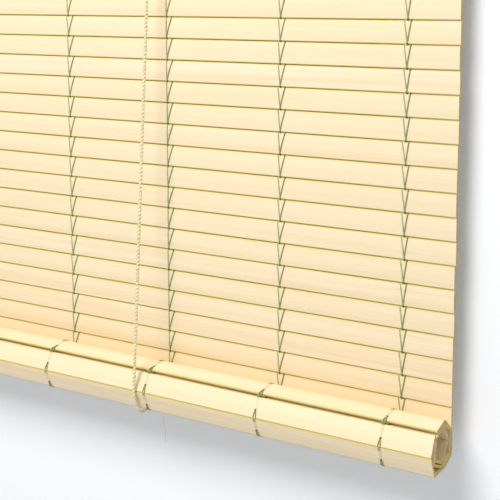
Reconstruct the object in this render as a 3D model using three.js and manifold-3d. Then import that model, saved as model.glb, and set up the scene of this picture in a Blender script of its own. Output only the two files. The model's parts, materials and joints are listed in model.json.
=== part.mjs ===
// A roll-up slat blind on a wooden headrail, partly rolled up.
// Millimetres. +X is the blind's right as seen from the room, +Y points into the wall, +Z is up.
// The origin lies on the wall, midway between the two brackets, at the height of their wall screws.
import * as THREE from "three";
import { mergeVertices } from "three/addons/utils/BufferGeometryUtils.js";
import Module from "manifold-3d";

const wasm = await Module();
wasm.setup();

// Driving sizes
const BLIND_WIDTH = 914;
const SLAT_WIDTH = 19.1;
const SLAT_THICKNESS = 2.6;
const SLAT_GAP = 0.9;
const FLAT_SLATS = 21;
const ROLLED_SLATS = 15;
const ROLL_CLEARANCE = 0.6;
const TIGHTEST_BEND = 75;
const HEADRAIL_END = 8;
const HEADRAIL_DEPTH = 22;
const HEADRAIL_HEIGHT = 34;
const WALL_GAP = 10;
const BRACKET_WIDTH = 26;
const BRACKET_STEEL = 2;
const BRACKET_RISE = 20;
const BRACKET_INSET = 120;
const WALL_HOLE_RADIUS = 2.4;
const CORD_DIAMETER = 3.4;
const CORD_INSET = 290;
const PULL_LENGTH = 380;
const TASSEL_RADIUS = 10.6;
const TASSEL_CLEARANCE = 5;
const WHEEL_GROOVE_RADIUS = 7.5;
const WHEEL_RIM_RADIUS = 9.6;
const WHEEL_WIDTH = 6.4;
const WHEEL_RIM_WIDTH = 0.8;
const AXLE_RADIUS = 2;
const HOUSING_WALL = 1.6;
const SCREW_RADIUS = 1.7;
const SCREW_LENGTH = 18;
const SCREW_HEAD_RADIUS = 3.6;
const SCREW_HEAD_HEIGHT = 2.2;
const RUNNING_CLEARANCE = 0.1;
const SIDE_CLEARANCE = 0.4;
const CONTACT_GAP = 0.3;

// Sizes that follow from them
const PITCH = SLAT_WIDTH + SLAT_GAP;
const HALF = BLIND_WIDTH / 2;
const RAIL_BACK = -WALL_GAP;
const RAIL_FRONT = RAIL_BACK - HEADRAIL_DEPTH;
const RAIL_TOP = -WALL_GAP;
const RAIL_BOTTOM = RAIL_TOP - HEADRAIL_HEIGHT;
const PULL_X = -(HALF + TASSEL_RADIUS + TASSEL_CLEARANCE);
const RAIL_HALF = HEADRAIL_END - PULL_X;
const SHEET_Y = (RAIL_BACK + RAIL_FRONT) / 2;
const SHEET_TOP = RAIL_BOTTOM;
const ROLL_TOP = SHEET_TOP - FLAT_SLATS * PITCH;
const CORD_RADIUS = CORD_DIAMETER / 2;
const CORD_LINE = WHEEL_GROOVE_RADIUS + CORD_RADIUS + CONTACT_GAP;
const WHEEL_Y = RAIL_FRONT - HOUSING_WALL - SIDE_CLEARANCE - WHEEL_WIDTH / 2;
const BORE_RADIUS = AXLE_RADIUS + RUNNING_CLEARANCE;

const wood = new THREE.MeshStandardMaterial({ color: 0xeedcb4, roughness: 0.6, metalness: 0 });
const railWood = new THREE.MeshStandardMaterial({ color: 0xe6cf9f, roughness: 0.6, metalness: 0 });
const rope = new THREE.MeshStandardMaterial({ color: 0xcdbb80, roughness: 0.9, metalness: 0 });
const steel = new THREE.MeshStandardMaterial({ color: 0xb9bcc0, roughness: 0.35, metalness: 1 });
const enamel = new THREE.MeshStandardMaterial({ color: 0xe9e2cf, roughness: 0.45, metalness: 0.2 });
const plastic = new THREE.MeshStandardMaterial({ color: 0xe8dfc4, roughness: 0.5, metalness: 0 });

const blind = new THREE.Group();

// Solids

function solidOf(geometry) {
  const plain = geometry.index ? geometry.toNonIndexed() : geometry;
  plain.deleteAttribute("normal");
  plain.deleteAttribute("uv");
  const merged = mergeVertices(plain, 1e-4);
  return new wasm.Manifold(
    new wasm.Mesh({
      numProp: 3,
      vertProperties: merged.attributes.position.array,
      triVerts: new Uint32Array(merged.index.array),
    }),
  );
}

function geometryOf(solid) {
  const mesh = solid.getMesh();
  const geometry = new THREE.BufferGeometry();
  geometry.setAttribute("position", new THREE.BufferAttribute(mesh.vertProperties, 3));
  geometry.setIndex(new THREE.BufferAttribute(mesh.triVerts, 1));
  geometry.computeVertexNormals();
  return geometry;
}

function add(name, solid, material) {
  const mesh = new THREE.Mesh(geometryOf(solid), material);
  mesh.name = name;
  blind.add(mesh);
}

function box(x, y, z) {
  const geometry = new THREE.BoxGeometry(x[1] - x[0], y[1] - y[0], z[1] - z[0]);
  geometry.translate((x[0] + x[1]) / 2, (y[0] + y[1]) / 2, (z[0] + z[1]) / 2);
  return solidOf(geometry);
}

// A round bar along Y, from the front end to the back end.
function barAlongY(radius, x, z, front, back, sides = 28) {
  const geometry = new THREE.CylinderGeometry(radius, radius, back - front, sides);
  geometry.translate(x, (front + back) / 2, z);
  return solidOf(geometry);
}

function barAlongZ(radius, x, y, bottom, top, sides = 28) {
  const geometry = new THREE.CylinderGeometry(radius, radius, top - bottom, sides);
  geometry.rotateX(Math.PI / 2);
  geometry.translate(x, y, (bottom + top) / 2);
  return solidOf(geometry);
}

// A plate in the XZ plane, from y = back towards the room.
function plate(shape, back, thickness) {
  const geometry = new THREE.ExtrudeGeometry(shape, {
    depth: thickness,
    bevelEnabled: false,
    curveSegments: 8,
  });
  geometry.rotateX(Math.PI / 2);
  geometry.translate(0, back, 0);
  return solidOf(geometry);
}

// A bar along X whose section is a shape in Y and Z.
function barAlongX(shape, left, right) {
  const geometry = new THREE.ExtrudeGeometry(shape, {
    depth: right - left,
    bevelEnabled: false,
    curveSegments: 3,
  });
  const turn = new THREE.Matrix4().makeBasis(
    new THREE.Vector3(0, 1, 0),
    new THREE.Vector3(0, 0, 1),
    new THREE.Vector3(1, 0, 0),
  );
  geometry.applyMatrix4(turn);
  geometry.translate(left, 0, 0);
  return solidOf(geometry);
}

function roundedRectangle(width, height, radius) {
  const shape = new THREE.Shape();
  const x = width / 2 - radius;
  const y = height / 2 - radius;
  shape.absarc(x, y, radius, 0, Math.PI / 2, false);
  shape.absarc(-x, y, radius, Math.PI / 2, Math.PI, false);
  shape.absarc(-x, -y, radius, Math.PI, 1.5 * Math.PI, false);
  shape.absarc(x, -y, radius, 1.5 * Math.PI, 2 * Math.PI, false);
  return shape;
}

// A pan-head wood screw along an axis, with its head's underside at the origin and its point along -Z.
function screw() {
  const tip = 4;
  const profile = [
    new THREE.Vector2(0, -SCREW_LENGTH),
    new THREE.Vector2(SCREW_RADIUS, tip - SCREW_LENGTH),
    new THREE.Vector2(SCREW_RADIUS, 0),
    new THREE.Vector2(SCREW_HEAD_RADIUS, 0),
    new THREE.Vector2(SCREW_HEAD_RADIUS, SCREW_HEAD_HEIGHT * 0.4),
    new THREE.Vector2(SCREW_HEAD_RADIUS * 0.7, SCREW_HEAD_HEIGHT),
    new THREE.Vector2(0, SCREW_HEAD_HEIGHT),
  ];
  const geometry = new THREE.LatheGeometry(profile, 20);
  geometry.rotateX(Math.PI / 2);
  const slotWidth = 0.9;
  const slotDepth = 1.1;
  const slot = box(
    [-SCREW_HEAD_RADIUS, SCREW_HEAD_RADIUS],
    [-slotWidth / 2, slotWidth / 2],
    [SCREW_HEAD_HEIGHT - slotDepth, SCREW_HEAD_HEIGHT + 1],
  );
  return solidOf(geometry).subtract(slot);
}

// The slats

// How far apart two straight lines in a plane come.
function lineDistance(a, b, c, d) {
  const toLine = (p, q, r) => {
    const along = r.clone().sub(q);
    const share = THREE.MathUtils.clamp(p.clone().sub(q).dot(along) / along.lengthSq(), 0, 1);
    return p.distanceTo(q.clone().addScaledVector(along, share));
  };
  const side = (p, q, r) => q.clone().sub(p).cross(r.clone().sub(p));
  const crossing = side(a, b, c) * side(a, b, d) < 0 && side(c, d, a) * side(c, d, b) < 0;
  return crossing ? 0 : Math.min(toLine(a, c, d), toLine(b, c, d), toLine(c, a, b), toLine(d, a, b));
}

// The middle line of a slat, between the centres of its two round edges.
function middleLine(start, angle) {
  const edge = (SLAT_GAP + SLAT_THICKNESS) / 2;
  const along = new THREE.Vector2(Math.cos(angle), Math.sin(angle));
  return [
    start.clone().addScaledVector(along, edge),
    start.clone().addScaledVector(along, PITCH - edge),
  ];
}

// Winds slats from the core outwards: each one bends on its threads until it meets the roll
// or the threads stop it. Returns the bend from each slat to the next, from the core outwards.
function windRoll(count) {
  const step = THREE.MathUtils.degToRad(0.5);
  const most = THREE.MathUtils.degToRad(TIGHTEST_BEND);
  const bends = [];
  const lines = [middleLine(new THREE.Vector2(), 0)];
  const end = new THREE.Vector2(PITCH, 0);
  let angle = 0;
  const clear = (line) =>
    lines.slice(0, -1).every(
      (other) => lineDistance(...line, ...other) >= SLAT_THICKNESS + ROLL_CLEARANCE,
    );
  while (lines.length < count) {
    let bend = 0;
    while (bend + step <= most && clear(middleLine(end, angle + bend + step))) {
      bend += step;
    }
    bends.push(bend);
    angle += bend;
    lines.push(middleLine(end, angle));
    end.add(new THREE.Vector2(Math.cos(angle), Math.sin(angle)).multiplyScalar(PITCH));
  }
  return bends;
}

const slatEdgeRadius = SLAT_THICKNESS * 0.46;
const slatSection = roundedRectangle(SLAT_THICKNESS, SLAT_WIDTH, slatEdgeRadius);
const slatSolid = barAlongX(slatSection, -HALF, HALF);

// A slat that hangs from the point (y, z), leaning forward by an angle.
function slatAt(y, z, angle) {
  const turn = new THREE.Matrix4().makeRotationX(-angle);
  const down = new THREE.Vector3(0, -Math.sin(angle), -Math.cos(angle));
  const centre = new THREE.Vector3(0, y, z).addScaledVector(down, PITCH / 2);
  turn.setPosition(centre);
  return slatSolid.transform(turn.elements);
}

function twoDigits(number) {
  return String(number).padStart(2, "0");
}

for (let i = 0; i < FLAT_SLATS; i += 1) {
  add(`slat_${twoDigits(i + 1)}`, slatAt(SHEET_Y, SHEET_TOP - i * PITCH, 0), wood);
}

// The roll starts behind with a slat that still lies in the sheet, and winds forward and in.
const rollBends = windRoll(ROLLED_SLATS).reverse();
const hangPoint = new THREE.Vector2(SHEET_Y, ROLL_TOP);
let lean = 0;
for (let i = 0; i < ROLLED_SLATS; i += 1) {
  add(`roll_slat_${twoDigits(i + 1)}`, slatAt(hangPoint.x, hangPoint.y, lean), wood);
  hangPoint.x -= PITCH * Math.sin(lean);
  hangPoint.y -= PITCH * Math.cos(lean);
  lean += rollBends[i] ?? 0;
}

// The headrail and its brackets

const bracketX = HALF - BRACKET_INSET;
const bracketScrewY = SHEET_Y;
const cordX = HALF - CORD_INSET;
const cordBackY = SHEET_Y + SLAT_THICKNESS / 2 + CORD_RADIUS + 2 * CONTACT_GAP;
const cordHoleRadius = CORD_RADIUS + 0.5;
const knotRadius = 3.6;
const knotPocketRadius = knotRadius + 0.6;
const railEdgeRadius = 2;
const pilotRadius = SCREW_RADIUS + RUNNING_CLEARANCE;
const pilotDepth = SCREW_LENGTH + 1;

const railSection = roundedRectangle(HEADRAIL_DEPTH, HEADRAIL_HEIGHT, railEdgeRadius);
let rail = barAlongX(railSection, -RAIL_HALF, RAIL_HALF).translate(
  0,
  SHEET_Y,
  (RAIL_TOP + RAIL_BOTTOM) / 2,
);
for (const side of [-1, 1]) {
  rail = rail
    .subtract(barAlongZ(pilotRadius, side * bracketX, bracketScrewY, RAIL_TOP - pilotDepth, 0))
    .subtract(barAlongZ(cordHoleRadius, side * cordX, cordBackY, RAIL_BOTTOM - 1, 0))
    .subtract(
      barAlongZ(knotPocketRadius, side * cordX, cordBackY, RAIL_TOP - 2 * knotPocketRadius, 0),
    );
}

const flangeTop = RAIL_TOP + BRACKET_STEEL;
for (const [side, word] of [[-1, "left"], [1, "right"]]) {
  const x = side * bracketX;
  const across = [x - BRACKET_WIDTH / 2, x + BRACKET_WIDTH / 2];
  const wallHole = barAlongY(WALL_HOLE_RADIUS, x, 0, -WALL_GAP, 1);
  const topHole = barAlongZ(pilotRadius, x, bracketScrewY, RAIL_TOP - 1, 0);
  const bracket = box(across, [-BRACKET_STEEL, 0], [RAIL_TOP, BRACKET_RISE - WALL_GAP])
    .add(box(across, [RAIL_FRONT, 0], [RAIL_TOP, flangeTop]))
    .subtract(wallHole)
    .subtract(topHole);
  add(`bracket_${word}`, bracket, steel);
  const fixing = screw().translate(x, bracketScrewY, flangeTop);
  add(`bracket_screw_${word}`, fixing, steel);
}

// Cord pulleys on the headrail's front

const rightWheelZ = RAIL_TOP - 16;
const leftWheelZ = rightWheelZ - CORD_DIAMETER - 1.6;
const pulleys = [
  { word: "left", x: -cordX - CORD_LINE, z: leftWheelZ },
  { word: "right", x: cordX - CORD_LINE, z: rightWheelZ },
];
const wheelSides = 28;

function pulleyWheel() {
  const w = WHEEL_WIDTH / 2;
  const profile = [
    new THREE.Vector2(BORE_RADIUS, -w),
    new THREE.Vector2(WHEEL_RIM_RADIUS, -w),
    new THREE.Vector2(WHEEL_RIM_RADIUS, -w + WHEEL_RIM_WIDTH),
    new THREE.Vector2(WHEEL_GROOVE_RADIUS, -CORD_RADIUS * 0.6),
    new THREE.Vector2(WHEEL_GROOVE_RADIUS, CORD_RADIUS * 0.6),
    new THREE.Vector2(WHEEL_RIM_RADIUS, w - WHEEL_RIM_WIDTH),
    new THREE.Vector2(WHEEL_RIM_RADIUS, w),
    new THREE.Vector2(BORE_RADIUS, w),
    new THREE.Vector2(BORE_RADIUS, -w),
  ];
  return solidOf(new THREE.LatheGeometry(profile, wheelSides));
}

const cheekBack = RAIL_FRONT;
const cheekFront = WHEEL_Y - WHEEL_WIDTH / 2 - SIDE_CLEARANCE - HOUSING_WALL;
const tabReach = 13;
const cheekRadius = WHEEL_RIM_RADIUS - 3;
const webGap = 1;
const axleHeadHeight = 1;
for (const { word, x, z } of pulleys) {
  const cheek = new THREE.Shape();
  const webX = x - WHEEL_RIM_RADIUS - webGap;
  cheek.absarc(x, z, cheekRadius, -Math.PI * 0.75, Math.PI, false);
  cheek.lineTo(webX - HOUSING_WALL, z);
  cheek.lineTo(webX - HOUSING_WALL, z - cheekRadius);
  const tab = box(
    [webX - HOUSING_WALL - tabReach, webX],
    [cheekBack - HOUSING_WALL, cheekBack],
    [z - cheekRadius, z],
  );
  const screwX = webX - HOUSING_WALL - tabReach / 2;
  const screwZ = z - cheekRadius / 2;
  const axleHole = barAlongY(AXLE_RADIUS, x, z, cheekFront - 1, cheekBack + 1);
  const screwHole = barAlongY(pilotRadius, screwX, screwZ, cheekFront, cheekBack + 1);
  const housing = plate(cheek, cheekBack, HOUSING_WALL)
    .add(plate(cheek, cheekFront + HOUSING_WALL, HOUSING_WALL))
    .add(box([webX - HOUSING_WALL, webX], [cheekFront, cheekBack], [z - cheekRadius, z]))
    .add(tab)
    .subtract(axleHole)
    .subtract(screwHole);
  add(`pulley_housing_${word}`, housing, enamel);
  add(`pulley_wheel_${word}`, pulleyWheel().translate(x, WHEEL_Y, z), plastic);
  const axle = barAlongY(AXLE_RADIUS, x, z, cheekFront, cheekBack).add(
    barAlongY(AXLE_RADIUS + 1, x, z, cheekFront - axleHeadHeight, cheekFront),
  );
  add(`pulley_axle_${word}`, axle, steel);
  const fixing = screw()
    .rotate([90, 0, 0])
    .translate(screwX, cheekBack - HOUSING_WALL, screwZ);
  add(`pulley_screw_${word}`, fixing, steel);
  rail = rail.subtract(
    barAlongY(pilotRadius, screwX, screwZ, RAIL_FRONT - 1, RAIL_FRONT + pilotDepth),
  );
}

// The cord lock at the left end

const guideX = PULL_X + CORD_LINE;
const guideZ = rightWheelZ - 2;
const lockHalfWidth = 5.4;
const lockY = WHEEL_Y - 2;
const cordSpread = CORD_RADIUS + 0.5;
const lockFront = lockY - lockHalfWidth - HOUSING_WALL;
const lockLeft = PULL_X - CORD_RADIUS - 1.4 - HOUSING_WALL;
const lockRight = guideX + WHEEL_RIM_RADIUS + 2;
const lockTop = guideZ + CORD_LINE + CORD_RADIUS + 1;
const lockBottom = guideZ - 30;
const pawlX = guideX + 1.5;
const pawlZ = guideZ - 20;
const pawlReach = pawlX - PULL_X - CORD_RADIUS - CONTACT_GAP;
const lockPlate = new THREE.Shape();
lockPlate.moveTo(lockLeft, lockBottom);
lockPlate.lineTo(lockRight - 6, lockBottom);
lockPlate.lineTo(lockRight, lockBottom + 8);
lockPlate.lineTo(lockRight, lockTop - 8);
lockPlate.lineTo(lockRight - 8, lockTop);
lockPlate.lineTo(lockLeft, lockTop);
const lockTabReach = 16;
const lockTabHeight = 12;
const lockScrewX = lockRight + lockTabReach / 2;
const lockScrewZ = guideZ - 8;
let lockBody = plate(lockPlate, RAIL_FRONT, RAIL_FRONT - lockY - lockHalfWidth)
  .add(plate(lockPlate, lockY - lockHalfWidth, HOUSING_WALL))
  .add(box([lockLeft, lockLeft + HOUSING_WALL], [lockFront, RAIL_FRONT], [lockBottom, lockTop]))
  .add(
    box(
      [lockRight - 4, lockRight + lockTabReach],
      [RAIL_FRONT - HOUSING_WALL, RAIL_FRONT],
      [lockScrewZ - lockTabHeight / 2, lockScrewZ + lockTabHeight / 2],
    ),
  );
for (const [x, z] of [[guideX, guideZ], [pawlX, pawlZ]]) {
  lockBody = lockBody.subtract(barAlongY(AXLE_RADIUS, x, z, lockFront - 1, RAIL_FRONT + 1));
}
lockBody = lockBody.subtract(
  barAlongY(pilotRadius, lockScrewX, lockScrewZ, lockFront - 1, RAIL_FRONT + 1),
);
rail = rail.subtract(
  barAlongY(pilotRadius, lockScrewX, lockScrewZ, RAIL_FRONT - 1, RAIL_FRONT + pilotDepth),
);
add("headrail", rail, railWood);
add("cord_lock_housing", lockBody, plastic);
add(
  "cord_lock_screw",
  screw()
    .rotate([90, 0, 0])
    .translate(lockScrewX, RAIL_FRONT - HOUSING_WALL, lockScrewZ),
  steel,
);

function guideRoller() {
  const w = lockHalfWidth - SIDE_CLEARANCE;
  const profile = [
    new THREE.Vector2(BORE_RADIUS, -w),
    new THREE.Vector2(WHEEL_GROOVE_RADIUS, -w),
    new THREE.Vector2(WHEEL_GROOVE_RADIUS, w),
    new THREE.Vector2(BORE_RADIUS, w),
    new THREE.Vector2(BORE_RADIUS, -w),
  ];
  return solidOf(new THREE.LatheGeometry(profile, wheelSides));
}
add("cord_lock_roller", guideRoller().translate(guideX, lockY, guideZ), plastic);
for (const [name, x, z] of [
  ["cord_lock_roller_pin", guideX, guideZ],
  ["cord_lock_pawl_pin", pawlX, pawlZ],
]) {
  add(name, barAlongY(AXLE_RADIUS, x, z, lockFront, RAIL_FRONT), steel);
}

// The pawl is a toothed cam that squeezes both cords against the housing's left wall.
const teeth = 7;
const toothDepth = 0.8;
const pawlHubRadius = 4.4;
const pawlShape = new THREE.Shape();
pawlShape.absarc(0, 0, pawlHubRadius, -Math.PI * 0.6, Math.PI * 0.55, false);
for (let i = 0; i <= teeth; i += 1) {
  const turn = THREE.MathUtils.lerp(Math.PI * 0.8, Math.PI * 1.12, i / teeth);
  const grow = THREE.MathUtils.lerp(0.72, 1, i / teeth);
  const root = (pawlReach - toothDepth) * grow;
  pawlShape.lineTo(root * Math.cos(turn), root * Math.sin(turn));
  const tip = pawlReach * grow;
  const after = turn + 0.03;
  pawlShape.lineTo(tip * Math.cos(after), tip * Math.sin(after));
}
const pawlWidth = 2 * (lockHalfWidth - SIDE_CLEARANCE);
const pawl = plate(pawlShape, pawlWidth / 2, pawlWidth)
  .subtract(barAlongY(BORE_RADIUS, 0, 0, -pawlWidth, pawlWidth))
  .translate(pawlX, lockY, pawlZ);
add("cord_lock_pawl", pawl, plastic);

// Cords. A route is a list of points that a tube follows one by one.

class Route extends THREE.Curve {
  constructor(points) {
    super();
    this.points = points;
  }
  getPointAt(share) {
    return this.points[Math.round(share * (this.points.length - 1))].clone();
  }
  getTangentAt(share) {
    const i = Math.round(share * (this.points.length - 1));
    const before = this.points[Math.max(i - 1, 0)];
    const after = this.points[Math.min(i + 1, this.points.length - 1)];
    return after.clone().sub(before).normalize();
  }
}

function tube(points, radius) {
  const section = new THREE.Shape();
  section.absarc(0, 0, radius, 0, 2 * Math.PI, false);
  const geometry = new THREE.ExtrudeGeometry(section, {
    steps: points.length - 1,
    curveSegments: 8,
    extrudePath: new Route(points),
  });
  return solidOf(geometry);
}

// Points at even turns on an arc about an axis along Y, in degrees from +X towards +Z.
function arcAboutY(x, y, z, radius, from, to, count) {
  const points = [];
  for (let i = 0; i < count; i += 1) {
    const turn = THREE.MathUtils.degToRad(THREE.MathUtils.lerp(from, to, i / (count - 1)));
    points.push(new THREE.Vector3(x + radius * Math.cos(turn), y, z + radius * Math.sin(turn)));
  }
  return points;
}

// Round the roll, from its front to behind the sheet, as offsets from the roll's hanging point.
const roundRoll = [
  [-50.2, -4],
  [-49.6, -10],
  [-46.6, -18],
  [-43.6, -25.5],
  [-41.2, -28.4],
  [-37.4, -29.6],
  [-28, -29.6],
  [-19, -29.2],
  [-12, -27.4],
  [-4, -25.4],
  [1.2, -22.8],
  [3.6, -18.6],
];

for (const { word, x, z } of pulleys) {
  const downX = x + CORD_LINE;
  const spread = word === "left" ? cordSpread : -cordSpread;
  const points = [
    ...arcAboutY(guideX, lockY + spread, guideZ, CORD_LINE, 180, 90, 6),
    ...arcAboutY(x, WHEEL_Y, z, CORD_LINE, 90, 0, 6),
    ...roundRoll.map(([y, dz]) => new THREE.Vector3(downX, SHEET_Y + y, ROLL_TOP + dz)),
    new THREE.Vector3(downX, cordBackY, ROLL_TOP),
    new THREE.Vector3(downX, cordBackY, RAIL_TOP - knotRadius),
  ];
  const knot = new THREE.SphereGeometry(knotRadius, 12, 8);
  knot.translate(downX, cordBackY, RAIL_TOP - knotRadius);
  add(`lift_cord_${word}`, tube(points, CORD_RADIUS).add(solidOf(knot)), rope);
}

// The pull: both cords leave the lock downwards and end in a turned wooden tassel.
const pullTop = guideZ - CONTACT_GAP;
const tasselTop = lockBottom - PULL_LENGTH;
const tasselHeight = 34;
const tasselBoreDepth = 14;
const pullEnd = tasselTop - tasselBoreDepth + 6;
for (const [word, spread] of [["left", cordSpread], ["right", -cordSpread]]) {
  const points = [
    new THREE.Vector3(PULL_X, lockY + spread, pullTop),
    new THREE.Vector3(PULL_X, lockY + spread, lockBottom),
    new THREE.Vector3(PULL_X, lockY + spread * 0.9, tasselTop + 40),
    new THREE.Vector3(PULL_X, lockY + spread * 0.85, pullEnd),
  ];
  add(`pull_cord_${word}`, tube(points, CORD_RADIUS), rope);
}
const tasselBore = cordSpread + CORD_RADIUS + 0.5;
const tasselProfile = new THREE.SplineCurve([
  new THREE.Vector2(5.4, 0),
  new THREE.Vector2(6.6, -7),
  new THREE.Vector2(9.4, -16),
  new THREE.Vector2(TASSEL_RADIUS, -24),
  new THREE.Vector2(9.2, -31),
]).getPoints(14);
const tassel = new THREE.LatheGeometry(
  [
    new THREE.Vector2(0, -tasselBoreDepth),
    new THREE.Vector2(0, -tasselHeight),
    ...tasselProfile.reverse(),
    new THREE.Vector2(tasselBore, 0),
    new THREE.Vector2(tasselBore, -tasselBoreDepth),
    new THREE.Vector2(0, -tasselBoreDepth),
  ],
  28,
);
tassel.rotateX(Math.PI / 2);
add("tassel", solidOf(tassel).translate(PULL_X, lockY, tasselTop), wood);

export default blind;
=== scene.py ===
import json
import math
import random

import bmesh
import bpy
from mathutils import Matrix, Vector, noise

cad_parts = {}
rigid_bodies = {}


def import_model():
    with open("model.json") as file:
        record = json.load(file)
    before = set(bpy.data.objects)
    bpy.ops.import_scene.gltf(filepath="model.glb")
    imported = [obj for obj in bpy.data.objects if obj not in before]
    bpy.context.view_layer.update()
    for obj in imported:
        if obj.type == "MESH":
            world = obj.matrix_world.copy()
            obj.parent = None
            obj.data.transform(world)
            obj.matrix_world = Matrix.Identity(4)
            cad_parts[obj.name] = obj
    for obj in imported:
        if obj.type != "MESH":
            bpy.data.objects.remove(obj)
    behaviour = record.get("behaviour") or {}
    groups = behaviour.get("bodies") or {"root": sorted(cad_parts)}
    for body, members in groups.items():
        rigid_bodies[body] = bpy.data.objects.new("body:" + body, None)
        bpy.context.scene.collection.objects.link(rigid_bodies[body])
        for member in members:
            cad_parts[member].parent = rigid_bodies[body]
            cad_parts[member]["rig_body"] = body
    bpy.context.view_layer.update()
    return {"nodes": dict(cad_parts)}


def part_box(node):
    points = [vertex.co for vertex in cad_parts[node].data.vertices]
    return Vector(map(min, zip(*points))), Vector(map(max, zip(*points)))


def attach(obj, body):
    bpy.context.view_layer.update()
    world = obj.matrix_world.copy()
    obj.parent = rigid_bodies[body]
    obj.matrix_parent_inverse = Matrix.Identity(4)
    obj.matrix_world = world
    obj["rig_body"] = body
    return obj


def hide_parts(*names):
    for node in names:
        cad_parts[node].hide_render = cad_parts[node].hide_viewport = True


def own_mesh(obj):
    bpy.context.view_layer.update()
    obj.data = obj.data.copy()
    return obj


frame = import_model()

# A roll-up blind of thin wooden slats, partly rolled up on its two lift cords.
# The camera: a long lens in front and to the right, a little below the headrail and turned left.
camera = bpy.data.objects.new("camera", bpy.data.cameras.new("camera"))
bpy.context.scene.collection.objects.link(camera)
camera.location = (0.735, -0.832, -0.103)
camera.rotation_euler = (math.radians(83.3), 0, math.radians(30))
camera.data.sensor_width = 36
camera.data.lens = 75.96
camera.data.shift_x = -0.008
camera.data.shift_y = -0.264
bpy.context.scene.camera = camera
bpy.context.scene.view_settings.view_transform = "Standard"

# Lift cords: two cords, each laid from two strands of jute and cotton. Each leaves the lock,
# crosses the headrail's front to its pulley, drops in front of the sheet, passes under the roll
# and goes up behind the slats to a knot in the headrail.


class Maths:
    """A shader socket that can be reckoned with. Colours and vectors go through mix() and node()."""

    def __init__(self, tree, socket):
        self.tree = tree
        self.socket = socket

    def node(self, kind, settings=None, output=0, **inputs):
        made = self.tree.nodes.new(kind)
        for key, value in (settings or {}).items():
            setattr(made, key, value)
        for key, value in inputs.items():
            number = key.startswith("at")
            socket = made.inputs[int(key[2:]) if number else key.replace("_", " ")]
            if isinstance(value, Maths):
                self.tree.links.new(value.socket, socket)
            else:
                socket.default_value = value
        return Maths(self.tree, made.outputs[output])

    def math(self, operation, a, b=0.0):
        return self.node("ShaderNodeMath", {"operation": operation}, at0=a, at1=b)

    def __add__(self, other):
        return self.math("ADD", self, other)

    def __rsub__(self, other):
        return self.math("SUBTRACT", other, self)

    def __mul__(self, other):
        return self.math("MULTIPLY", self, other)

    __radd__ = __add__
    __rmul__ = __mul__

    def between(self, low, high):
        """0 below low, 1 above high, smooth between them."""
        smooth = {"interpolation_type": "SMOOTHSTEP"}
        return self.node("ShaderNodeMapRange", smooth, at0=self, at1=low, at2=high)

    def stretched(self, x, y, z):
        return self.node("ShaderNodeMapping", at0=self, Scale=(x, y, z))

    def noise(self, scale, detail=2.0, roughness=0.5):
        return self.node("ShaderNodeTexNoise", Vector=self, Scale=scale, Detail=detail, Roughness=roughness)

    def mix(self, a, b):
        """Colour a where this is 0, colour b where it is 1."""
        low, high = [c if isinstance(c, Maths) else (*c, 1) for c in (a, b)]
        return self.node("ShaderNodeMix", {"data_type": "RGBA"}, output=2, at0=self, at6=low, at7=high)

    def attribute(self, name):
        """A value that the mesh carries from point to point."""
        return self.node("ShaderNodeAttribute", {"attribute_name": name}, output=2)


def finish_of(name, **fixed):
    """A new material, its shader with the fixed values set, and its Object coordinates."""
    material = bpy.data.materials.new(name)
    material.use_nodes = True
    tree = material.node_tree
    shader = tree.nodes["Principled BSDF"]
    for key, value in fixed.items():
        shader.inputs[key.replace("_", " ")].default_value = value
    place = Maths(tree, None).node("ShaderNodeTexCoord", output=3)
    return material, shader, place


def wire(shader, height=None, strength=0.3, distance=0.0002, **inputs):
    """Links what varies over the surface: colour, roughness and the height that a Bump node reads."""
    if height is not None:
        inputs["Normal"] = height.node(
            "ShaderNodeBump", Strength=strength, Distance=distance, Height=height
        )
    for key, value in inputs.items():
        value.tree.links.new(value.socket, shader.inputs[key.replace("_", " ")])


def tone(red, green, blue):
    """A colour by its display values, 0 to 255, as the shader's linear values."""
    shares = (value / 255 for value in (red, green, blue))
    return tuple(v / 12.92 if v <= 0.04045 else ((v + 0.055) / 1.055) ** 2.4 for v in shares)


def linked(name, mesh, body, *materials):
    """An object made of the mesh and its materials, which moves with the body."""
    piece = bpy.data.objects.new(name, mesh)
    bpy.context.scene.collection.objects.link(piece)
    for material in materials:
        mesh.materials.append(material)
    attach(piece, body)
    return piece


cord_finish, shader, place = finish_of("twisted_cord", Sheen_Weight=0.15)
fibre = place.noise(2600, 3)
speck = place.noise(900, 2, 0.6).between(0.52, 0.62)
soil = place.noise(60)
cord_colour = (fibre * 0.7 + soil * 0.3).between(0.3, 0.75).mix(tone(238, 222, 170), tone(255, 247, 216))
# Painted shade: the cord is darkened towards its middle line, in the grooves between its strands, where
# shade falls.
painted_groove_shade = 1 - place.attribute("proud").between(0.74, 0.97)
cord_colour = (speck * 0.55).mix(cord_colour, tone(168, 156, 92))
cord_colour = (painted_groove_shade * 0.95).mix(cord_colour, tone(104, 86, 32))
wire(shader, fibre + speck * 0.4, 0.5, 0.0003, Base_Color=cord_colour, Roughness=0.75 + fibre * 0.25)

CORD_RADIUS = 0.0017
STRAND_RADIUS = CORD_RADIUS * 0.54
CORD_LAY = 0.0072
CORD_STEP = 0.0009
SHEET_Y = -0.021
PITCH = 0.020
SHEET_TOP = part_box("headrail")[0].z
FLAT_SLATS = 21
FIXED_SLATS = 3
ROLL_TOP = SHEET_TOP - FLAT_SLATS * PITCH
LOCK_X = -0.4726
LOCK_Y = -0.0392
LOCK_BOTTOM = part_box("cord_lock_housing")[0].z
CORD_LINE = 0.0095
CORD_SPREAD = 0.0022
BEHIND_Y = SHEET_Y + 0.0036
KNOT_Z = -0.0136
KNOT_SIZE = 0.00088
KNOT_CORD_RADIUS = 0.00105

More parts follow.
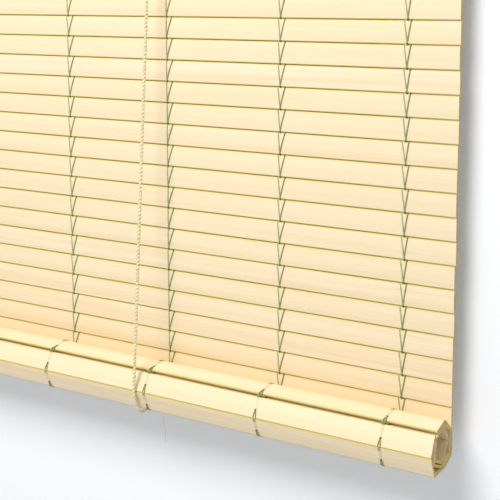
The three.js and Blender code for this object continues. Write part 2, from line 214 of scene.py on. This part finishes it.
# The cord's way round the roll, in millimetres out from the sheet and down from the roll's hinge.
ROUND_ROLL = [
    (-50.2, -4), (-49.6, -10), (-46.6, -18), (-43.6, -25.5), (-41.2, -28.4), (-37.4, -29.6),
    (-28, -29.6), (-19, -29.2), (-12, -27.4), (-4, -25.4), (1.2, -22.8), (3.6, -18.6),
]


def arc(x, y, z, start, end):
    """Points on a quarter turn round a wheel whose axle runs along Y."""
    turns = [math.radians(start + (end - start) * i / 14) for i in range(15)]
    return [Vector((x + CORD_LINE * math.cos(t), y, z + CORD_LINE * math.sin(t))) for t in turns]


def even(points, step):
    """The same line with its points at even steps."""
    lengths = [0.0]
    for a, b in zip(points, points[1:]):
        lengths.append(lengths[-1] + (b - a).length)
    count = max(2, round(lengths[-1] / step))
    made, k = [], 0
    for i in range(count + 1):
        want = lengths[-1] * i / count
        while k < len(points) - 2 and lengths[k + 1] < want:
            k += 1
        share = (want - lengths[k]) / max(lengths[k + 1] - lengths[k], 1e-9)
        made.append(points[k].lerp(points[k + 1], share))
    return made


def eased(points, reach):
    """Rounds a line's corners: each point moves to the middle of its neighbours."""
    last = len(points) - 1
    made = []
    for i in range(len(points)):
        span = min(reach, i, last - i)
        near = points[i - span : i + span + 1]
        made.append(sum(near, Vector()) / len(near))
    return made


def curved(points, steps=8):
    """A smooth line through the points."""
    made = []
    for i in range(len(points) - 1):
        a, b, c, d = (points[min(max(i + k, 0), len(points) - 1)] for k in (-1, 0, 1, 2))
        for s in range(steps):
            t = s / steps
            square = (2 * a - 5 * b + 4 * c - d) * t**2
            cube = (3 * b - a - 3 * c + d) * t**3
            made.append(0.5 * ((2 * b) + (c - a) * t + square + cube))
    return made + [points[-1]]


def twist(line, lay, radius, strands=2):
    """The lines of the strands that wind round a line, each one a list as long as the line."""
    side = Vector((0.3, 1, 0.2)).cross(line[1] - line[0]).normalized()
    made = [[] for _ in range(strands)]
    step = (line[1] - line[0]).length
    for i, point in enumerate(line):
        ahead = (line[min(i + 1, len(line) - 1)] - line[max(i - 1, 0)]).normalized()
        side = (side - ahead * side.dot(ahead)).normalized()
        across = ahead.cross(side)
        for k in range(strands):
            turn = 2 * math.pi * (i * step / lay + k / strands)
            made[k].append(point + radius * (side * math.cos(turn) + across * math.sin(turn)))
    return made


def tubes(name, lines, radius, rings=1, middle=None):
    """A mesh of round tubes along the lines, with closed ends. Strands round a middle line also
    get how far each point stands from it, as a share of the cord's radius."""
    curve = bpy.data.curves.new(name, "CURVE")
    curve.dimensions = "3D"
    curve.bevel_depth = radius
    curve.bevel_resolution = rings
    curve.use_fill_caps = True
    for line in lines:
        spline = curve.splines.new("POLY")
        spline.points.add(len(line) - 1)
        for point, place_on_line in zip(spline.points, line):
            point.co = (*place_on_line, 1)
    made = bpy.data.objects.new(name, curve)
    bpy.context.scene.collection.objects.link(made)
    depsgraph = bpy.context.evaluated_depsgraph_get()
    mesh = bpy.data.meshes.new_from_object(made.evaluated_get(depsgraph))
    bpy.data.objects.remove(made)
    bpy.data.curves.remove(curve)
    mesh.name = name
    mesh.shade_smooth()
    if middle:
        sides = len(mesh.vertices) // (len(lines) * len(middle))
        proud = mesh.attributes.new("proud", "FLOAT", "POINT")
        for i, vertex in enumerate(mesh.vertices):
            centre = middle[(i // sides) % len(middle)]
            proud.data[i].value = (vertex.co - centre).length / CORD_RADIUS
    return mesh


def body_at(z):
    """The body that holds the sheet at a height: the headrail's down to the third slat, then
    each slat's."""
    row = int((SHEET_TOP - z) / PITCH)
    if row < FIXED_SLATS:
        return "headrail_body"
    return f"slat_{row + 1:02d}_body" if row < FLAT_SLATS else "roll_body"


for word, spread in (("left", CORD_SPREAD), ("right", -CORD_SPREAD)):
    wheel_low, wheel_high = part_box(f"pulley_wheel_{word}")
    wheel = (wheel_low + wheel_high) / 2
    down_x = wheel.x + CORD_LINE
    roller_low, roller_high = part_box("cord_lock_roller")
    roller = (roller_low + roller_high) / 2
    under = [Vector((down_x, SHEET_Y + y / 1000, ROLL_TOP + z / 1000)) for y, z in ROUND_ROLL]
    behind = [Vector((down_x, BEHIND_Y, ROLL_TOP - 0.012)), Vector((down_x, BEHIND_Y, ROLL_TOP))]
    route = (
        [Vector((LOCK_X, LOCK_Y + spread, LOCK_BOTTOM))]
        + arc(roller.x, LOCK_Y + spread, roller.z, 180, 90)
        + arc(wheel.x, wheel.y, wheel.z, 90, 0)
        + curved([under[0] + Vector((0, 0.0012, 0.02))] + under + behind)
        + [Vector((down_x, BEHIND_Y, KNOT_Z))]
    )
    line = eased(even(route, CORD_STEP), 3)
    strands = twist(line, CORD_LAY, CORD_RADIUS - STRAND_RADIUS)
    low = min(range(len(line)), key=lambda i: line[i].z)
    runs = []
    for i, point in enumerate(line):
        side_word = "front" if i < low else "behind"
        owner = body_at(point.z)
        key = (owner, "under" if owner == "roll_body" else side_word)
        if not runs or runs[-1][0] != key:
            runs.append([key, i, i])
        runs[-1][2] = i
    for (owner, side_word), first, last in runs:
        part = owner.removesuffix("_body")
        name = f"lift_cord_{word}_{side_word}_{part}"
        end = min(last + 1, len(line) - 1)
        here = slice(first, end + 1)
        mesh = tubes(name, [strand[here] for strand in strands], STRAND_RADIUS, 2, line[here])
        piece = linked(name, mesh, owner, cord_finish)
        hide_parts(f"lift_cord_{word}")
        if side_word == "behind" and owner.startswith("slat"):
            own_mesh(piece)
    knot = []
    for i in range(61):
        t = 2 * math.pi * i / 60
        along = math.sin(t) + 2 * math.sin(2 * t)
        proud = math.cos(t) - 2 * math.cos(2 * t)
        turn = Vector((along, proud, -1.4 * math.sin(3 * t)))
        knot.append(Vector((down_x, BEHIND_Y, KNOT_Z)) + KNOT_SIZE * turn)
    knot_name = f"lift_cord_{word}_knot"
    mesh = tubes(knot_name, [knot], KNOT_CORD_RADIUS, 2)
    # The knot is given a near-outer value, so it gets almost none of the painted groove shade.
    mesh.attributes.new("proud", "FLOAT", "POINT").data.foreach_set("value", [0.95] * len(mesh.vertices))
    piece = linked(knot_name, mesh, "headrail_body", cord_finish)
    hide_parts(f"lift_cord_{word}")

# Tassel: a pear-shaped pull turned from a hardwood bar, with a bead at its neck. It is bored from
# above for the ends of the two pull cords, and closed below.
tassel_finish, shader, place = finish_of("turned_wood", Coat_Weight=0.25, Coat_Roughness=0.25)
lengthwise = place.stretched(700, 700, 40).noise(1, 3)
pores = place.stretched(2600, 2600, 160).noise(1, 2).between(0.62, 0.74)
tassel_colour = lengthwise.between(0.32, 0.7).mix(tone(226, 190, 128), tone(192, 148, 86))
tassel_colour = (pores * 0.4).mix(tassel_colour, tone(150, 108, 60))
tassel_gloss = 0.32 + lengthwise * 0.2
wire(shader, lengthwise + pores * -0.5, 0.2, 0.0001, Base_Color=tassel_colour, Roughness=tassel_gloss)

TASSEL_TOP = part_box("tassel")[1].z
TASSEL_PROFILE = [
    (0, -14), (4.4, -14), (4.4, -0.8), (4.8, -0.1), (5.3, -0.2), (5.5, -1.0), (5.2, -1.8), (5.6, -2.6),
    (6.0, -4.6), (6.7, -7.4), (7.9, -11.6), (9.2, -15.8), (10.1, -19.6), (10.5, -23), (10.5, -26),
    (10.0, -29), (9.1, -31.4), (7.6, -33), (5, -33.8), (0, -33.9),
]
shape = bmesh.new()
ring = [shape.verts.new((LOCK_X + x / 1000, LOCK_Y, TASSEL_TOP + z / 1000)) for x, z in TASSEL_PROFILE]
edges = [shape.edges.new(pair) for pair in zip(ring, ring[1:])]
bmesh.ops.spin(
    shape, geom=ring + edges, cent=(LOCK_X, LOCK_Y, 0), axis=(0, 0, 1), angle=2 * math.pi, steps=56,
    use_merge=True,
)
bmesh.ops.remove_doubles(shape, verts=shape.verts, dist=1e-6)
bmesh.ops.recalc_face_normals(shape, faces=shape.faces)
mesh = bpy.data.meshes.new("tassel_turned")
shape.to_mesh(mesh)
shape.free()
mesh.shade_smooth()
tassel = linked("tassel_turned", mesh, "tassel_body", tassel_finish)
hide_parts("tassel")

# Pull cords: the free ends of the two lift cords, of the same lay. They hang from the lock, side
# by side, and end in the tassel's bore.
PULL_END = TASSEL_TOP - 0.008
for word, spread in (("left", CORD_SPREAD), ("right", -CORD_SPREAD)):
    hang = [
        Vector((LOCK_X, LOCK_Y + spread, LOCK_BOTTOM)),
        Vector((LOCK_X, LOCK_Y + spread * 0.9, TASSEL_TOP + 0.040)),
        Vector((LOCK_X, LOCK_Y + spread * 0.85, PULL_END)),
    ]
    line = even(hang, CORD_STEP)
    name = f"pull_cord_{word}"
    strands = twist(line, CORD_LAY, CORD_RADIUS - STRAND_RADIUS)
    mesh = tubes(name + "_twisted", strands, STRAND_RADIUS, 2, line)
    piece = linked(name + "_twisted", mesh, "headrail_body", cord_finish)
    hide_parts(name)
    length = sum((b - a).length for a, b in zip(line, line[1:]))
    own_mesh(piece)

# Slats: planed strips of pale basswood, 19 mm wide and 2.6 mm thick, with rounded edges and a
# thin matt lacquer. Each has its own grain, a slightly uneven edge and sawn ends that show end
# grain. The last fifteen lie in the roll, flat strip on flat strip.
SLAT_LENGTH = 0.914
SLAT_WIDTH = 0.0195
SLAT_THICKNESS = 0.0026
SLAT_EDGE = 0.00112
SLAT_CUTS = 44
ROLL_SLATS = 15

slat_finish, shader, place = finish_of("lacquered_slat", Specular_IOR_Level=0.35)
own = place.attribute("slat_tone")
figure = place.stretched(2.2, 140, 140).noise(1, 3, 0.55)
streak = place.stretched(9, 1500, 1500).noise(1, 2, 0.6)
pore = place.stretched(60, 4200, 4200).noise(1, 1).between(0.66, 0.78)
grain = figure * 0.55 + streak * 0.45
slat_colour = grain.between(0.32, 0.72).mix(tone(251, 231, 198), tone(241, 214, 169))
slat_colour = (own * 0.6).mix(slat_colour, tone(245, 224, 182))
slat_colour = (pore * 0.3).mix(slat_colour, tone(205, 172, 118))
# Painted shade: the rounded long edges of each slat are tinted a darker tan, standing in for the shade on
# them and in the gap between slats.
painted_edge_shade = place.attribute("slat_edge").between(0.887, 0.93)
slat_colour = (painted_edge_shade * 0.9).mix(slat_colour, tone(220, 198, 120))
wire(shader, streak + pore * -0.5, 0.18, 0.0001, Base_Color=slat_colour, Roughness=0.42 + grain * 0.22)

end_finish, shader, place = finish_of("slat_end_grain", Specular_IOR_Level=0.2)
fleck = place.stretched(900, 2600, 2600).noise(1, 3)
ring = place.stretched(200, 420, 420).noise(1, 2)
end_grain = (fleck * 0.6 + ring * 0.4).between(0.35, 0.65)
end_colour = end_grain.mix(tone(222, 196, 128), tone(178, 146, 78))
wire(shader, fleck, 0.5, 0.0003, Base_Color=end_colour, Roughness=0.8 + fleck * 0.15)


def long_edges(shape):
    """The edges that run from one end of a slat to the other."""
    return [e for e in shape.edges if abs(e.verts[0].co.x - e.verts[1].co.x) > SLAT_LENGTH / 2]


def slat(name, body, hang, down, seed, width=SLAT_WIDTH, slip=0.0):
    """A slat whose upper edge meets the hinge line at hang, and which hangs in the direction down.
    One that sits loose in its threads has slipped down by slip."""
    draw = random.Random(seed)
    shape = bmesh.new()
    bmesh.ops.create_cube(shape, size=1)
    bmesh.ops.scale(shape, vec=(SLAT_LENGTH, SLAT_THICKNESS, width), verts=shape.verts)
    bmesh.ops.bevel(
        shape, geom=long_edges(shape), offset=SLAT_EDGE, segments=4, profile=0.5, affect="EDGES",
        material=-1,
    )
    bmesh.ops.subdivide_edges(shape, edges=long_edges(shape), cuts=SLAT_CUTS, use_grid_fill=True)
    across = [abs(v.co.z) / (width / 2) for v in shape.verts]
    phase = draw.uniform(0, 100)
    shift = draw.uniform(-0.0006, 0.0006)
    for v in shape.verts:
        rough = noise.noise(Vector((v.co.x * 9, phase, 0.3)))
        fine = noise.noise(Vector((v.co.x * 70, phase, math.copysign(4, v.co.z))))
        v.co.z += 0.00007 * rough + 0.00004 * fine
        v.co.y += 0.00012 * noise.noise(Vector((v.co.x * 5, phase, 7)))
        v.co.x += shift if abs(v.co.x) > SLAT_LENGTH / 2 - 0.001 else 0
    down = down.normalized()
    middle = hang + down * (PITCH / 2 + slip)
    turn = Matrix(((1, 0, 0), (0, -down.z, -down.y), (0, down.y, -down.z)))
    bmesh.ops.transform(shape, matrix=Matrix.Translation(middle) @ turn.to_4x4(), verts=shape.verts)
    for face in shape.faces:
        face.smooth = True
        face.material_index = 1 if abs(face.normal.x) > 0.9 else 0
    for corner in shape.edges:
        sides = {face.material_index for face in corner.link_faces}
        corner.smooth = len(sides) == 1
    mesh = bpy.data.meshes.new(name + "_planed")
    shape.to_mesh(mesh)
    shape.free()
    shades = mesh.attributes.new("slat_tone", "FLOAT", "POINT")
    own_tone = draw.random()
    shades.data.foreach_set("value", [own_tone] * len(mesh.vertices))
    mesh.attributes.new("slat_edge", "FLOAT", "POINT").data.foreach_set("value", across)
    piece = linked(name + "_planed", mesh, body, slat_finish, end_finish)
    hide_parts(name)


places = []
for i in range(FLAT_SLATS):
    body = body_at(SHEET_TOP - (i + 0.5) * PITCH)
    hang = Vector((0, SHEET_Y, SHEET_TOP - i * PITCH))
    places.append((f"slat_{i + 1:02d}", body, hang, Vector((0, 0, -1))))
hang = Vector((0, SHEET_Y, ROLL_TOP))
for i in range(ROLL_SLATS):
    name = f"roll_slat_{i + 1:02d}"
    low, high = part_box(name)
    middle = (low + high) / 2
    down = Vector((0, middle.y - hang.y, middle.z - hang.z)).normalized()
    places.append((name, "roll_body", hang.copy(), down))
    hang += down * PITCH
# The two slats at the roll's front have slipped apart in their threads: each one's width and slip.
loose = {"roll_slat_05": (0.0189, -0.0009), "roll_slat_06": (0.0189, 0.0009)}
for i, (name, body, hang, down) in enumerate(places):
    slat(name, body, hang, down, 100 + i, *loose.get(name, (SLAT_WIDTH, 0.0)))

# Warp threads: waxed green linen. Eight columns are woven round the slats: two threads cross at
# each gap, spread over the next slat's front, and are caught behind it by a short double stitch.
# A row of STITCHES is one column: how far, in millimetres along the slat from the column's line,
# its left thread, its right thread and the point where they meet lie.
THREAD_RADIUS = 0.00052
PALE_RADIUS = THREAD_RADIUS * 0.5
TAIL_RADIUS = THREAD_RADIUS * 0.4
COLUMNS = 8
COLUMN_SPACING = 0.1177
COLUMN_MARGIN = 0.045
STITCHES = [
    (-2.5, 3.1, 0.1), (-2.1, 4.3, -0.3), (-2.9, 3.0, -2.6), (-3.6, 3.5, -1.9),
    (-2.6, 3.4, -0.6), (-2.4, 3.6, 0.2), (-3.0, 3.1, -1.4), (-2.7, 3.3, -0.4),
]


def linen(name, dark, light):
    """Waxed linen thread between two tones, with its ply and its wear."""
    made, shader, place = finish_of(name, Sheen_Weight=0.2)
    ply = place.noise(3800, 2)
    worn = place.noise(260)
    colour = (ply * 0.6 + worn * 0.4).between(0.35, 0.68).mix(tone(*dark), tone(*light))
    wire(shader, ply, 0.6, 0.0003, Base_Color=colour, Roughness=0.7 + ply * 0.25)
    return made


thread_finish = linen("linen_thread", (122, 132, 74), (168, 172, 112))
light_finish = linen("linen_thread_light", (158, 172, 118), (206, 212, 166))
knot_finish = linen("linen_knot", (78, 84, 38), (118, 122, 66))

pale_finish, shader, place = finish_of("pale_thread", Sheen_Weight=0.1)
ply = place.noise(3000, 2)
pale_colour = ply.between(0.3, 0.7).mix(tone(226, 214, 176), tone(244, 232, 204))
wire(shader, ply, 0.4, 0.0002, Base_Color=pale_colour, Roughness=0.7 + ply * 0.2)


def woven(name, body, hang, down, seed):
    """The threads on one slat. Points are (along, out, down) in millimetres from the hinge line."""
    draw = random.Random(seed)
    out = Vector((0, down.z, -down.y))
    front = SLAT_THICKNESS * 500 + THREAD_RADIUS * 700
    green, light, dark, pale = [], [], [], []
    for column in range(COLUMNS):
        x = SLAT_LENGTH / 2 - COLUMN_MARGIN - COLUMN_SPACING * column + draw.uniform(-0.0002, 0.0002)

        def stitch(steps, *points):
            corners = []
            for along, proud, drop in points:
                corner = Vector((x + along / 1000, 0, 0)) + hang
                corners.append(corner + (out * proud + down * drop) / 1000)
            return curved(corners, steps) if steps else corners

        left, right, foot = (value + draw.uniform(-0.25, 0.25) for value in STITCHES[column])
        for top, lines, close in ((left, light, -0.25), (right, green, 0.25)):
            waist = foot + close + (top - foot) * 0.45
            lines.append(stitch(
                4, (foot, 0.0, -0.1), ((foot + top) / 2, 0.3, 0.1), (top, 0.75, 0.4),
                (top, front, 1.3), (waist, front + 0.05, 9), (foot + close, front, 17.8),
                (foot + close, 0.8, 19.5), (foot, 0.1, 20.0),
            ))
            green.append(stitch(
                4, (0.2, 0.1, 0.0), (top * 0.35, -0.9, 0.45), (top * 0.35, -front, 1.4),
                (top * 0.22, -front - 0.1, 4.2), (0, -front, 6.6),
            ))
            pale.append(stitch(
                3, (0, -front + 0.1, 6.4), (top * 0.2, -front + 0.25, 11),
                (top * 0.3, -front + 0.2, 17.6), (top * 0.2, -0.8, 19.5), (0.2, 0, 20),
            ))
            green.append(stitch(0, (top * 0.3, -front, 17.9), (top * 0.25, -0.95, 19.5), (0.2, 0, 20)))
        knots = ((foot, front * 0.8, 19.3, 1), (right, 1.1, 0.55, 0.7), (0, -front - 0.1, 6.9, 1))
        for along, proud, drop, size in knots:
            dark.append(stitch(
                3, (along - 0.7 * size, proud, drop - 0.35 * size),
                (along + 0.6 * size, proud + 0.15, drop - 0.2 * size),
                (along + 0.3 * size, proud + 0.3, drop + 0.5 * size),
                (along - 0.6 * size, proud, drop + 0.25 * size),
            ))
    for suffix, lines, radius, rings, finish in (
        ("", green, THREAD_RADIUS, 1, thread_finish),
        ("_light", light, THREAD_RADIUS, 1, light_finish),
        ("_knots", dark, THREAD_RADIUS, 1, knot_finish),
        ("_pale", pale, PALE_RADIUS, 0, pale_finish),
    ):
        mesh = tubes(name + suffix, lines, radius, rings)
        linked(name + suffix, mesh, body, finish)


for i, (name, body, hang, down) in enumerate(places):
    woven("threads_" + name, body, hang, down, 300 + i)
loose_tail = curved([
    Vector((0.1936, -0.0620, -0.4800)), Vector((0.1930, -0.0612, -0.4925)),
    Vector((0.1936, -0.0590, -0.5050)), Vector((0.1926, -0.0580, -0.5180)),
])
mesh = tubes("threads_loose_tail", [loose_tail], TAIL_RADIUS)
linked("threads_loose_tail", mesh, "roll_body", light_finish)

# Hardware and headrail: brackets and pulley housings of pressed and enamelled steel, wheels and
# lock moulded in nylon, screws, axles and pins of plated steel, and a planed basswood headrail.
# Each is the frame's own solid with its edges broken.
SHARP = math.radians(30)


def softened(node, name, radius, material):
    """A copy of a fitting with its faces merged and its edges broken, as pressing or moulding
    leaves them."""
    shape = bmesh.new()
    shape.from_mesh(frame["nodes"][node].data)
    bmesh.ops.remove_doubles(shape, verts=shape.verts, dist=1e-6)
    bmesh.ops.dissolve_limit(shape, angle_limit=math.radians(1), verts=shape.verts, edges=shape.edges)
    edges = [e for e in shape.edges if len(e.link_faces) == 2 and e.calc_face_angle(0) > SHARP]
    bmesh.ops.bevel(
        shape, geom=edges, offset=radius, segments=2, profile=0.5, affect="EDGES", material=-1,
        clamp_overlap=True,
    )
    for face in shape.faces:
        face.smooth = True
    for edge in shape.edges:
        edge.smooth = len(edge.link_faces) == 2 and edge.calc_face_angle(0) < SHARP
    mesh = bpy.data.meshes.new(name)
    shape.to_mesh(mesh)
    shape.free()
    body = frame["nodes"][node]["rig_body"]
    piece = linked(name, mesh, body, material)
    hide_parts(node)
    return piece


enamel, shader, place = finish_of("cream_enamel", Coat_Weight=0.3, Coat_Roughness=0.2)
peel = place.noise(900, 2)
rub = place.noise(70, 4, 0.6).between(0.6, 0.72)
enamel_colour = (rub * 0.35).mix(tone(232, 226, 208), tone(196, 188, 168))
enamel_gloss = 0.32 + peel * 0.14 + rub * 0.2
wire(shader, peel, 0.12, 0.0002, Base_Color=enamel_colour, Roughness=enamel_gloss)

zinc, shader, place = finish_of("zinc_plate", Metallic=1.0)
spangle = place.noise(420, 3)
scratch = place.stretched(5200, 5200, 240).noise(1, 2)
zinc_shade = (spangle * 0.6 + scratch * 0.4).between(0.35, 0.65)
zinc_colour = zinc_shade.mix(tone(176, 178, 182), tone(214, 215, 216))
wire(shader, scratch, 0.2, 0.0001, Base_Color=zinc_colour, Roughness=0.24 + spangle * 0.22)

nylon, shader, place = finish_of("moulded_nylon", Coat_Weight=0.1)
cloud = place.noise(220, 3)
fine = place.noise(2600, 2)
nylon_colour = cloud.between(0.35, 0.7).mix(tone(238, 231, 208), tone(222, 212, 180))
wire(shader, fine, 0.15, 0.0001, Base_Color=nylon_colour, Roughness=0.38 + cloud * 0.2)

rail_finish, shader, place = finish_of("headrail_wood", Specular_IOR_Level=0.35)
figure = place.stretched(1.4, 60, 60).noise(1, 3, 0.55)
streak = place.stretched(7, 900, 900).noise(1, 2, 0.6)
grain = figure * 0.6 + streak * 0.4
rail_colour = grain.between(0.32, 0.7).mix(tone(244, 224, 182), tone(222, 190, 136))
wire(shader, streak, 0.2, 0.0001, Base_Color=rail_colour, Roughness=0.42 + grain * 0.2)

for word in ("left", "right"):
    for node, making, radius, finish, slot_name in (
        ("bracket", "bent", 0.0005, enamel, "brackets"),
        ("pulley_housing", "pressed", 0.00035, enamel, "pulley_housings"),
        ("pulley_wheel", "moulded", 0.0002, nylon, "wheels"),
        ("pulley_axle", "riveted", 0.0002, zinc, "fixings"),
        ("bracket_screw", "turned", 0.00015, zinc, "fixings"),
        ("pulley_screw", "turned", 0.00015, zinc, "fixings"),
    ):
        name = f"{node}_{word}"
        softened(name, f"{name}_{making}", radius, finish)
for name, making, radius, finish, slot_name in (
    ("cord_lock_housing", "moulded", 0.0004, nylon, "lock"),
    ("cord_lock_pawl", "moulded", 0.0002, nylon, "lock"),
    ("cord_lock_roller", "moulded", 0.0003, nylon, "wheels"),
    ("cord_lock_screw", "turned", 0.00015, zinc, "fixings"),
    ("cord_lock_roller_pin", "turned", 0.0003, zinc, "fixings"),
    ("cord_lock_pawl_pin", "turned", 0.0003, zinc, "fixings"),
    ("headrail", "planed", 0.0002, rail_finish, "rail"),
):
    softened(name, f"{name}_{making}", radius, finish)

# The room: a white wall close behind the blind, a pale floor below, and soft light from the upper
# left. The wall shows only its painted side, so that the blind can be looked at from behind too.
wall_finish, shader, place = finish_of("wall_paint", Roughness=0.9)
wall_noise = place.noise(300, 2)
wire(shader, wall_noise, 0.03, 0.0002, Base_Color=wall_noise.mix(tone(250, 250, 251), tone(253, 253, 253)))
tree = wall_finish.node_tree
one_sided = tree.nodes.new("ShaderNodeMixShader")
clear = tree.nodes.new("ShaderNodeBsdfTransparent")
geometry = tree.nodes.new("ShaderNodeNewGeometry")
tree.links.new(geometry.outputs["Backfacing"], one_sided.inputs["Fac"])
tree.links.new(shader.outputs["BSDF"], one_sided.inputs[1])
tree.links.new(clear.outputs["BSDF"], one_sided.inputs[2])
tree.links.new(one_sided.outputs["Shader"], tree.nodes["Material Output"].inputs["Surface"])

floor_finish, shader, place = finish_of("floor_paint", Roughness=0.8)
floor_noise = place.noise(40, 3)
wire(shader, floor_noise, 0.03, 0.0002, Base_Color=floor_noise.mix(tone(222, 223, 226), tone(230, 231, 234)))


def panel(name, corners, finish):
    """A flat face that belongs to the room and not to the blind."""
    shape = bmesh.new()
    shape.faces.new([shape.verts.new(corner) for corner in corners])
    mesh = bpy.data.meshes.new(name)
    shape.to_mesh(mesh)
    shape.free()
    made = bpy.data.objects.new(name, mesh)
    bpy.context.scene.collection.objects.link(made)
    mesh.materials.append(finish)
    return made


REACH = 3
WALL_Y = 0.001
WALL_TOP = 1.6
FLOOR_Z = -1.2
panel("wall", [
    (-REACH, WALL_Y, FLOOR_Z), (REACH, WALL_Y, FLOOR_Z),
    (REACH, WALL_Y, WALL_TOP), (-REACH, WALL_Y, WALL_TOP),
], wall_finish)
panel("floor", [
    (-REACH, -REACH, FLOOR_Z), (REACH, -REACH, FLOOR_Z),
    (REACH, REACH, FLOOR_Z), (-REACH, REACH, FLOOR_Z),
], floor_finish)

world = bpy.data.worlds.new("room_light")
bpy.context.scene.world = world
world.use_nodes = True
world.node_tree.nodes["Background"].inputs["Color"].default_value = (0.86, 0.94, 1.0, 1)
world.node_tree.nodes["Background"].inputs["Strength"].default_value = 0.5

light = bpy.data.lights.new("key_light", "AREA")
light.shape = "DISK"
light.size = 1.0
light.energy = 38
light.color = (1.0, 0.985, 0.97)
lamp = bpy.data.objects.new("key_light", light)
bpy.context.scene.collection.objects.link(lamp)
lamp.location = (0.05, -1.45, 1.2)
lamp_target = Vector((0.1, 0, -0.2))
lamp.rotation_euler = (lamp_target - lamp.location).to_track_quat("-Z", "Y").to_euler()
